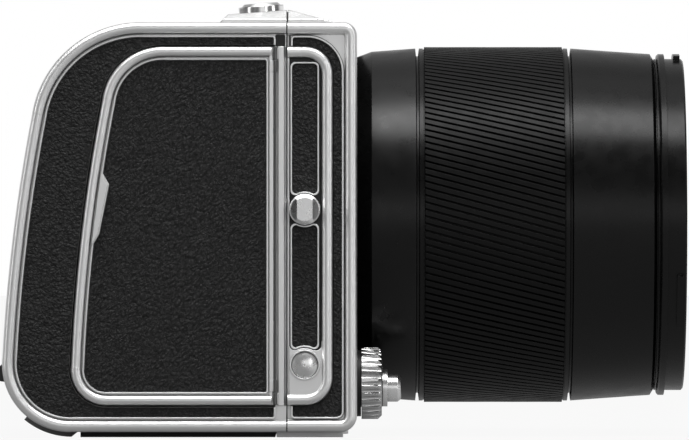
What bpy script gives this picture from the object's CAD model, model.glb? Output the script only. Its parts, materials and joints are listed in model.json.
"""Looks of a medium format digital camera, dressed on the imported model, in metres."""

import json
import math

import bmesh
import bpy
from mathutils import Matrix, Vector


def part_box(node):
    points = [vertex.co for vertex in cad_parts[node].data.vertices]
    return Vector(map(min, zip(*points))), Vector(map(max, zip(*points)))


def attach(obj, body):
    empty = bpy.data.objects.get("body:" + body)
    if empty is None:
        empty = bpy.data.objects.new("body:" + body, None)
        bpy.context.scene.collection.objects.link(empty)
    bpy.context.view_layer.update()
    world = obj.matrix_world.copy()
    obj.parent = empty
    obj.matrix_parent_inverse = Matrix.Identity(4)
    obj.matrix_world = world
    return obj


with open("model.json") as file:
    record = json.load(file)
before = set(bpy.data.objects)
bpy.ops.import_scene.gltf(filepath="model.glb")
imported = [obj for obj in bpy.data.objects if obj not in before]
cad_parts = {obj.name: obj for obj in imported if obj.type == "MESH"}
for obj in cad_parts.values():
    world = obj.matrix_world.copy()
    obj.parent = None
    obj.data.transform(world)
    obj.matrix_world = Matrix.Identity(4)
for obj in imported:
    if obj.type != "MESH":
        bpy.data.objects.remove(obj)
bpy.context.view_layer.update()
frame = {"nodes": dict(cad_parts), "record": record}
nodes = frame["nodes"]
scene = bpy.context.scene

MM = 0.001
LENS_HEIGHT = 45 * MM
LENS_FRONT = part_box("front_ring")[0].y
BODY_LOW, BODY_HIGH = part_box("body_frame")
BACK_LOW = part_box("right_side_frame")[0]


def grey(level):
    return (level, level, level)


class Nodes:
    """A node tree with short ways to add nodes and join them."""

    def __init__(self, tree):
        self.tree = tree

    def add(self, kind):
        return self.tree.nodes.new(kind)

    def link(self, source, target):
        self.tree.links.new(source, target)

    def feed(self, socket, value):
        """Sets a socket to a number, or links an output to it."""
        if isinstance(value, (int, float)):
            socket.default_value = value
        else:
            self.link(value, socket)

    def axes(self, vector):
        node = self.add("ShaderNodeSeparateXYZ")
        self.link(vector, node.inputs[0])
        return node.outputs

    def math(self, operation, first, second):
        node = self.add("ShaderNodeMath")
        node.operation = operation
        self.feed(node.inputs[0], first)
        self.feed(node.inputs[1], second)
        return node.outputs[0]

    def blend(self, factor, start, end):
        """A number that goes from start to end as the factor goes from 0 to 1."""
        node = self.add("ShaderNodeMix")
        node.data_type = "FLOAT"
        self.feed(node.inputs["Factor"], factor)
        self.feed(node.inputs["A"], start)
        self.feed(node.inputs["B"], end)
        return node.outputs["Result"]

    def mapped(self, value, span, levels, kind="LINEAR"):
        """A value over a span, turned into levels and held at the ends."""
        node = self.add("ShaderNodeMapRange")
        node.interpolation_type = kind
        keys = ("From Min", "From Max", "To Min", "To Max")
        for key, number in zip(keys, (*span, *levels)):
            node.inputs[key].default_value = number
        self.link(value, node.inputs["Value"])
        return node.outputs["Result"]

    def ramp(self, value, span, levels):
        return self.mapped(value, span, levels, "SMOOTHSTEP")


# Camera, floor and light


def add_camera():
    """The photograph's view: straight at the camera's right side, from far away."""
    distance = 2200 * MM
    aside = -4.69 * MM
    height = 45.97 * MM
    data = bpy.data.cameras.new("view")
    data.sensor_width = 36
    data.lens = 533.8
    data.clip_end = 20
    camera = bpy.data.objects.new("view", data)
    camera.location = (-distance, aside, height)
    camera.rotation_euler = (math.radians(90), 0, math.radians(-90))
    scene.collection.objects.link(camera)
    scene.camera = camera


def add_softbox(name, place, aim, width, height, radiance):
    """A rectangular lamp whose face has the given brightness."""
    data = bpy.data.lights.new(name, "AREA")
    data.shape = "RECTANGLE"
    data.size = width
    data.size_y = height
    data.energy = radiance * width * height * math.pi
    lamp = bpy.data.objects.new(name, data)
    lamp.location = place
    lamp.rotation_euler = (Vector(aim) - Vector(place)).to_track_quat("-Z", "Y").to_euler()
    scene.collection.objects.link(lamp)


def floor_material():
    """White to the camera, with a share of light for the shadow. Reflections meet it paler under the lens."""
    white_share = 0.93
    floor_grey = 0.16
    lens_edge = (-0.03, 0.0)
    pool_levels = (0.42, 0.1)
    material = bpy.data.materials.new("pale_floor")
    material.use_nodes = True
    make = Nodes(material.node_tree)
    make.tree.nodes.clear()
    path = make.add("ShaderNodeLightPath").outputs
    reflected = make.math("ADD", path["Is Glossy Ray"], path["Is Transmission Ray"])
    along = make.axes(make.add("ShaderNodeTexCoord").outputs["Object"])["Y"]
    pool = make.math("MULTIPLY", reflected, make.ramp(along, lens_edge, pool_levels))
    lit = make.add("ShaderNodeBsdfDiffuse")
    lit.inputs["Color"].default_value = (*grey(floor_grey), 1)
    glow = make.add("ShaderNodeEmission")
    mix = make.add("ShaderNodeMixShader")
    out = make.add("ShaderNodeOutputMaterial")
    make.link(make.blend(path["Is Camera Ray"], pool, white_share), mix.inputs[0])
    make.link(lit.outputs[0], mix.inputs[1])
    make.link(glow.outputs[0], mix.inputs[2])
    make.link(mix.outputs[0], out.inputs["Surface"])
    return material


def add_floor():
    half = 4
    corners = [(-half, -half, 0), (half, -half, 0), (half, half, 0), (-half, half, 0)]
    mesh = bpy.data.meshes.new("floor")
    mesh.from_pydata(corners, [], [(0, 1, 2, 3)])
    mesh.materials.append(floor_material())
    floor = bpy.data.objects.new("floor", mesh)
    scene.collection.objects.link(floor)


def add_world():
    """White to the camera. Light and reflections meet white low behind, a pale ceiling and dim sides."""
    world = bpy.data.worlds.new("studio")
    scene.world = world
    world.use_nodes = True
    make = Nodes(world.node_tree)
    make.tree.nodes.clear()
    axes = make.axes(make.add("ShaderNodeTexCoord").outputs["Generated"])
    behind = make.ramp(axes["X"], span=(0.05, 0.5), levels=(0, 1))
    fore = make.ramp(axes["X"], span=(-0.85, -0.45), levels=(0.2, 0.12))
    rear = make.ramp(axes["Z"], span=(0.12, 0.35), levels=(0.95, 0.4))
    ceiling = make.ramp(axes["Z"], span=(0.82, 0.94), levels=(0, 0.85))
    around = make.math("MAXIMUM", make.blend(behind, fore, rear), ceiling)
    path = make.add("ShaderNodeLightPath").outputs
    back = make.add("ShaderNodeBackground")
    back.inputs["Color"].default_value = (*grey(1), 1)
    out = make.add("ShaderNodeOutputWorld")
    make.link(make.blend(path["Is Camera Ray"], around, 1.0), back.inputs["Strength"])
    make.link(back.outputs[0], out.inputs["Surface"])


TARGET = (0, -5 * MM, LENS_HEIGHT)
# Place, width, height and brightness of the lamps
SOFTBOXES = {
    "top_strip": ((-0.35, 0.0, 1.1), 1.6, 0.42, 7.4),
    "left_strip": ((-0.55, 1.2, 0.35), 0.3, 1.2, 2.6),
    "right_strip": ((-0.55, -1.2, 0.35), 0.3, 1.2, 2.6),
    "front_box": ((-2.6, -0.15, 0.5), 1.3, 0.76, 1.0),
    "near_strip": ((-1.9, -0.9, 0.5), 0.18, 1.0, 5.0),
}

add_camera()
add_floor()
add_world()
for name, (place, width, height, radiance) in SOFTBOXES.items():
    add_softbox(name, place, TARGET, width, height, radiance)
scene.view_settings.view_transform = "Standard"


# Materials

# Where nearly all values of a noise lie
NOISE_SPAN = (0.3, 0.7)
# Darkest and lightest share of a coat's own colour
CLOUD_SHARES = (0.85, 1.15)
# From and to in Y: the blackened row along the knuckles of the hinge
HINGE_ROW = (9.45 * MM, 10.3 * MM)
# Samples of the edge and groove nodes
NEAR_SAMPLES = 6


class Maker(Nodes):
    """A principled material, drawn in the object coordinates of its piece."""

    def __init__(self, name):
        self.material = bpy.data.materials.new(name)
        self.material.use_nodes = True
        super().__init__(self.material.node_tree)
        self.shader = self.tree.nodes["Principled BSDF"]
        self.coords = self.add("ShaderNodeTexCoord").outputs["Object"]

    def set(self, **values):
        for key, value in values.items():
            self.shader.inputs[key.replace("_", " ")].default_value = value
        return self

    def slanted(self, degrees, stretch):
        """Coordinates in which a pattern runs long, at a slant on the camera's sides."""
        mapping = self.add("ShaderNodeMapping")
        mapping.vector_type = "TEXTURE"
        mapping.inputs["Rotation"].default_value = (math.radians(degrees), 0, 0)
        mapping.inputs["Scale"].default_value = (1, 1, stretch)
        self.link(self.coords, mapping.inputs["Vector"])
        return mapping.outputs["Vector"]

    def stretched(self, scale):
        mapping = self.add("ShaderNodeMapping")
        mapping.inputs["Scale"].default_value = scale
        self.link(self.coords, mapping.inputs["Vector"])
        return mapping.outputs["Vector"]

    def noise_node(self, scale, detail=2, roughness=0.5, vector=None):
        tex = self.add("ShaderNodeTexNoise")
        tex.inputs["Scale"].default_value = scale
        tex.inputs["Detail"].default_value = detail
        tex.inputs["Roughness"].default_value = roughness
        self.link(vector or self.coords, tex.inputs["Vector"])
        return tex.outputs

    def noise(self, scale, detail=3, roughness=0.55, vector=None):
        return self.noise_node(scale, detail, roughness, vector)["Fac"]

    def drifted(self, vector, scale, reach):
        """Coordinates pushed about by a noise, so that a pattern loses its regular look."""
        warp = self.add("ShaderNodeVectorMath")
        warp.operation = "MULTIPLY_ADD"
        self.link(self.noise_node(scale, vector=vector)["Color"], warp.inputs[0])
        warp.inputs[1].default_value = grey(reach)
        self.link(vector, warp.inputs[2])
        return warp.outputs["Vector"]

    def cells(self, scale, smoothness, vector):
        tex = self.add("ShaderNodeTexVoronoi")
        tex.feature = "SMOOTH_F1"
        tex.inputs["Scale"].default_value = scale
        tex.inputs["Smoothness"].default_value = smoothness
        self.link(vector, tex.inputs["Vector"])
        return tex.outputs["Distance"]

    def open_share(self, reach, span, least=0):
        """Least deep in a groove and 1 on an open face, for the dirt and tarnish that grooves hold."""
        node = self.add("ShaderNodeAmbientOcclusion")
        node.samples = NEAR_SAMPLES
        node.inputs["Distance"].default_value = reach
        return self.mapped(node.outputs["AO"], span, (least, 1))

    def colour(self, value, dark, light):
        node = self.add("ShaderNodeMix")
        node.data_type = "RGBA"
        node.inputs["A"].default_value = (*dark, 1)
        node.inputs["B"].default_value = (*light, 1)
        self.link(value, node.inputs["Factor"])
        self.link(node.outputs["Result"], self.shader.inputs["Base Color"])

    def rough(self, value, levels):
        self.link(self.mapped(value, NOISE_SPAN, levels), self.shader.inputs["Roughness"])

    def clouded(self, scale, level, rough, tint=grey(1)):
        """Colour and roughness that drift a little over the surface."""
        clouds = self.noise(scale)
        dark, light = (tuple(level * share * part for part in tint) for share in CLOUD_SHARES)
        self.colour(self.mapped(clouds, NOISE_SPAN, (0, 1)), dark, light)
        self.rough(clouds, rough)

    def relief(self, height, depth, strength, edge):
        """Bump from a height, over edges rounded by the given radius."""
        bevel = self.add("ShaderNodeBevel")
        bevel.samples = NEAR_SAMPLES
        bevel.inputs["Radius"].default_value = edge
        bump = self.add("ShaderNodeBump")
        bump.inputs["Strength"].default_value = strength
        bump.inputs["Distance"].default_value = depth
        self.link(height, bump.inputs["Height"])
        self.link(bevel.outputs["Normal"], bump.inputs["Normal"])
        self.link(bump.outputs["Normal"], self.shader.inputs["Normal"])


def silver(name, level, rough, edge, dark_row=None):
    """Satin metal with fine blasted grain, dark in its grooves and, where given, in a row across Y."""
    tarnish = 0.015
    row_share = 0.14
    make = Maker(name).set(Metallic=1.0)
    in_gaps = make.open_share(0.35 * MM, span=(0.2, 0.6))
    in_corners = make.open_share(1.2 * MM, span=(0.35, 0.8), least=0.7)
    clean = make.math("MULTIPLY", in_gaps, in_corners)
    if dark_row:
        along = make.axes(make.coords)["Y"]
        after = make.math("GREATER_THAN", along, dark_row[0])
        before = make.math("LESS_THAN", along, dark_row[1])
        row = make.math("MULTIPLY", after, before)
        clean = make.math("MULTIPLY", clean, make.mapped(row, (0, 1), (1, row_share)))
    make.colour(clean, grey(tarnish), grey(level))
    make.rough(make.noise(scale=420, detail=4), rough)
    make.relief(make.noise(scale=9000, detail=2), depth=0.004 * MM, strength=0.35, edge=edge)
    return make.material


def leather(name, dark, light, grain, slant=0, stretch=1):
    """Pebbled leather: rounded grains of two sizes with fine creases between them."""
    small_share = 0.45
    fine_share = 0.25
    make = Maker(name).set(Specular_IOR_Level=0.2)
    vector = make.drifted(make.slanted(slant, stretch), scale=500, reach=0.9 * MM)
    pebble = make.cells(grain, smoothness=0.6, vector=vector)
    small = make.cells(grain * 2.3, smoothness=0.5, vector=vector)
    fine = make.noise(grain * 5, detail=2)
    streaks = make.noise(grain * 0.7, roughness=0.6, vector=vector)
    patches = make.noise(160)
    height = make.math("MULTIPLY", pebble, -1.0)
    height = make.math("ADD", height, make.math("MULTIPLY", small, -small_share))
    height = make.math("ADD", height, make.math("MULTIPLY", fine, fine_share))
    tone = make.mapped(pebble, span=(0.1, 0.55), levels=(0.68, 0.24))
    tone = make.math("ADD", tone, make.mapped(streaks, span=(0.35, 0.65), levels=(-0.18, 0.16)))
    tone = make.math("ADD", tone, make.mapped(patches, NOISE_SPAN, levels=(-0.05, 0.05)))
    make.colour(tone, grey(dark), grey(light))
    make.rough(patches, (0.45, 0.6))
    make.relief(height, depth=0.3 * MM, strength=1.0, edge=0.15 * MM)
    return make.material


def satin(name, level, rough, grain=7000, depth=0.004 * MM, edge=0.12 * MM, gloss=0.4, tint=grey(1)):
    """Moulded plastic, rubber or coated board with a fine grain."""
    make = Maker(name).set(Specular_IOR_Level=gloss)
    make.clouded(300, level, rough, tint)
    make.relief(make.noise(grain, detail=2), depth, strength=0.4, edge=edge)
    return make.material


def turned(name, level, rough, gloss):
    """Black anodised barrel with faint turning lines round the lens axis."""
    line_scale = (20, 9000, 20)
    make = Maker(name).set(Specular_IOR_Level=gloss)
    make.clouded(260, level, rough)
    lines = make.noise(scale=1, detail=2, roughness=0.6, vector=make.stretched(line_scale))
    make.relief(lines, depth=0.003 * MM, strength=0.35, edge=0.1 * MM)
    return make.material


def coated_glass(name, tint, film):
    """Clear lens glass with a thin coating in nanometres and faint smears."""
    smear_share = 1.08
    make = Maker(name).set(IOR=1.6, Transmission_Weight=1.0)
    make.set(Thin_Film_Thickness=film, Thin_Film_IOR=1.38)
    smears = make.noise(90)
    make.colour(smears, tint, tuple(min(1.0, part * smear_share) for part in tint))
    make.rough(smears, (0.0, 0.03))
    return make.material


def dark_gloss(name, level, rough, film=0.0):
    """Dark glass that lets no light through, with a coating where given."""
    dust_shares = (0.8, 1.2)
    make = Maker(name).set(Thin_Film_Thickness=film, Thin_Film_IOR=1.38)
    dust = make.noise(500)
    dark, light = (grey(level * share) for share in dust_shares)
    make.colour(dust, dark, light)
    make.rough(dust, rough)
    return make.material


SILVER = silver("satin_silver", level=0.84, rough=(0.36, 0.44), edge=0.18 * MM)
HINGE_SILVER = silver("hinge_silver", level=0.84, rough=(0.36, 0.44), edge=0.18 * MM, dark_row=HINGE_ROW)
ROOF_SILVER = silver("roof_silver", level=0.76, rough=(0.14, 0.2), edge=0.4 * MM)
BRIGHT = silver("polished_silver", level=0.8, rough=(0.25, 0.32), edge=0.2 * MM)
STEEL = silver("plain_steel", level=0.4, rough=(0.16, 0.24), edge=0.1 * MM)
WHEEL_STEEL = silver("wheel_steel", level=0.5, rough=(0.18, 0.26), edge=0.08 * MM)
SIDE_LEATHER = leather("side_leather", dark=0.004, light=0.04, grain=1500)
DOOR_LEATHER = leather("door_leather", dark=0.004, light=0.039, grain=1900, slant=30, stretch=1.6)
BLACK = satin("black_plastic", level=0.014, rough=(0.4, 0.55))
SCREEN_BLACK = satin("screen_black", level=0.02, rough=(0.32, 0.45))
KEY_GREY = satin("key_grey", level=0.05, rough=(0.4, 0.5))
RUBBER = satin("black_rubber", level=0.014, rough=(0.55, 0.7), grain=5000, depth=0.01 * MM)
FOOT = satin("foot_grey", level=0.18, rough=(0.35, 0.5))
GRIP = satin("grip_rubber", level=0.002, rough=(0.36, 0.46), grain=6000, depth=0.006 * MM,
             edge=0.14 * MM, gloss=0.15)
BOARD = satin("board_green", level=0.08, rough=(0.4, 0.5), tint=(0.15, 1, 0.4))
BATTERY = satin("battery_case", level=0.06, rough=(0.35, 0.5))
CARD = satin("card_blue", level=0.12, rough=(0.4, 0.5), tint=(0.12, 0.35, 1))
BARREL = turned("lens_black", level=0.0012, rough=(0.24, 0.32), gloss=0.21)
REAR_BARREL = turned("rear_barrel_black", level=0.0012, rough=(0.26, 0.34), gloss=0.3)
GLASS = coated_glass("coated_glass", tint=(0.86, 0.9, 0.92), film=360)
INNER_GLASS = dark_gloss("inner_glass", level=0.006, rough=(0.02, 0.06), film=420)
DISPLAY = dark_gloss("display", level=0.006, rough=(0.03, 0.08))
SENSOR = dark_gloss("sensor_face", level=0.02, rough=(0.08, 0.15), film=520)

FINISHES = {
    "silver_metal": SILVER,
    "polished_steel": BRIGHT,
    "plain_steel": STEEL,
    "black_leather": SIDE_LEATHER,
    "black_plastic": BLACK,
    "dark_screen_plastic": SCREEN_BLACK,
    "key_plastic": KEY_GREY,
    "black_rubber": RUBBER,
    "foot_plastic": FOOT,
    "black_lens_metal": BARREL,
    "lens_glass": GLASS,
    "screen_glass": DISPLAY,
    "sensor_face": SENSOR,
    "board_green": BOARD,
    "chassis_metal": BLACK,
    "battery_case": BATTERY,
    "card_plastic": CARD,
}
# Nodes whose finish differs from that of their slot
SPECIAL = {
    "door_leather": DOOR_LEATHER,
    "focus_grip": GRIP,
    "control_wheel": WHEEL_STEEL,
    "rear_barrel": REAR_BARREL,
    "focus_group": INNER_GLASS,
    "body_roof": ROOF_SILVER,
    "back_roof": ROOF_SILVER,
    "hinge_strip": HINGE_SILVER,
    "battery_door": HINGE_SILVER,
    "door_hinge_pin": HINGE_SILVER,
}


# Dressing of the CAD nodes

SOLID_CREASE = math.radians(28)
DETAIL_CREASE = math.radians(40)
WELD_REACH = 0.0005 * MM


def shade_smooth(piece, crease):
    """Smooth shading, with edges sharper than the crease angle kept crisp."""
    for face in piece.data.polygons:
        face.use_smooth = True
    split = piece.modifiers.new("crisp_edges", "EDGE_SPLIT")
    split.split_angle = crease


def dress(name, finish):
    piece = nodes[name]
    piece.data.materials.clear()
    piece.data.materials.append(finish)
    weld = piece.modifiers.new("weld", "WELD")
    weld.merge_threshold = WELD_REACH
    shade_smooth(piece, SOLID_CREASE)


for part in frame["record"]["subparts"]:
    dress(part["node"], SPECIAL.get(part["node"], FINISHES[part["material_slot"]]))


# Detail pieces

SEAM = (BODY_HIGH.y, BACK_LOW.y)
# Distance from the middle of the camera to the floors of the side channels
BACK_FLOOR = 44.2 * MM
BODY_FLOOR = 43.75 * MM


def new_piece(name, build, material, body):
    mesh = bpy.data.meshes.new(name)
    work = bmesh.new()
    build(work)
    bmesh.ops.recalc_face_normals(work, faces=work.faces)
    work.to_mesh(mesh)
    work.free()
    mesh.materials.append(material)
    piece = bpy.data.objects.new(name, mesh)
    scene.collection.objects.link(piece)
    shade_smooth(piece, DETAIL_CREASE)
    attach(piece, body)


def bridge(work, first, second):
    """Faces between two closed loops with the same number of points."""
    for k, point in enumerate(first):
        following = (k + 1) % len(first)
        work.faces.new((point, first[following], second[following], second[k]))


def revolve(work, profile, steps):
    """Turns a closed profile of (radius, depth from the lens front) round the lens axis."""
    rings = []
    for i in range(steps):
        angle = 2 * math.pi * i / steps
        rings.append([
            work.verts.new((r * math.cos(angle), LENS_FRONT + depth, LENS_HEIGHT + r * math.sin(angle)))
            for r, depth in profile
        ])
    for i, ring in enumerate(rings):
        bridge(work, ring, rings[(i + 1) % steps])


def filter_thread(work):
    """Ridges of the filter thread inside the front ring."""
    wall = 33.25 * MM
    behind_wall = wall + 0.1 * MM
    crest = wall - 0.4 * MM
    pitch = 0.75 * MM
    start = 0.6 * MM
    ridges = 5
    foot, crest_from, crest_to, end = (0.08 * MM, 0.3 * MM, 0.42 * MM, 0.66 * MM)
    profile = [(behind_wall, start)]
    for k in range(ridges):
        base = start + k * pitch
        profile += [(wall, base + foot), (crest, base + crest_from)]
        profile += [(crest, base + crest_to), (wall, base + end)]
    profile.append((behind_wall, start + ridges * pitch))
    revolve(work, profile, steps=160)


def mirrored(points):
    """A loop of (x, z) points from its right half, given from the bottom up."""
    return points + [(-x, z) for x, z in reversed(points)]


def seam_seal(work):
    """Flat black ring between body and back, just under the surface, with the roof's bump on top."""
    low, top = BODY_LOW.z, BODY_HIGH.z
    spare = 0.03 * MM
    side, shoulder, roof_side, roof_edge = (43.7 * MM, top - 0.5 * MM, 25.5 * MM, 23.7 * MM)
    outer = mirrored([
        (side, low + 0.6 * MM), (side, shoulder), (roof_side, shoulder),
        (roof_side, top + 0.8 * MM), (roof_edge, top + 2.6 * MM),
    ])
    side, shoulder, roof_side, roof_edge = (41.2 * MM, top - 3 * MM, 23.5 * MM, 22 * MM)
    inner = mirrored([
        (side, low + 3.1 * MM), (side, shoulder), (roof_side, shoulder),
        (roof_side - 0.5 * MM, top - 1.5 * MM), (roof_edge, top + 0.2 * MM),
    ])
    levels = (SEAM[0] + spare, SEAM[1] - spare)
    outer_front, outer_rear, inner_front, inner_rear = (
        [work.verts.new((x, y, z)) for x, z in loop] for loop in (outer, inner) for y in levels
    )
    around = (outer_front, outer_rear, inner_rear, inner_front)
    for i, loop in enumerate(around):
        bridge(work, loop, around[(i + 1) % len(around)])


def side_plate(side, floor, thickness, low, high, radius):
    """Builder of a small plate on a side's floor, with round corners and a slanted edge."""
    edge = 0.08 * MM
    lift = 0.01 * MM
    steps = 24

    def corner_loop(work, height, reach):
        loop = []
        for i in range(steps):
            angle = 2 * math.pi * (i + 0.5) / steps
            across, up = math.cos(angle), math.sin(angle)
            y = (high[0] - radius if across > 0 else low[0] + radius) + reach * across
            z = (high[1] - radius if up > 0 else low[1] + radius) + reach * up
            loop.append(work.verts.new((side * (floor + height), y, z)))
        return loop

    def build(work):
        bottom = corner_loop(work, lift, radius)
        shoulder = corner_loop(work, thickness - edge, radius)
        top = corner_loop(work, thickness, radius - edge)
        bridge(work, bottom, shoulder)
        bridge(work, shoulder, top)
        work.faces.new(bottom)
        work.faces.new(top)

    return build


new_piece("filter_ridges", filter_thread, BARREL, "camera")
new_piece("seam_seal", seam_seal, RUBBER, "camera")
for side, word in ((-1, "right"), (1, "left")):
    patch = side_plate(side, BACK_FLOOR, thickness=0.35 * MM, low=(7.83 * MM, 82.6 * MM),
                       high=(9.86 * MM, 85.05 * MM), radius=0.3 * MM)
    new_piece(f"{word}_back_patch", patch, BLACK, "camera")
    strip = side_plate(side, BODY_FLOOR, thickness=0.45 * MM, low=(6.7 * MM, 82.75 * MM),
                       high=(6.98 * MM, 85.05 * MM), radius=0.1 * MM)
    new_piece(f"{word}_body_patch", strip, BLACK, "camera")
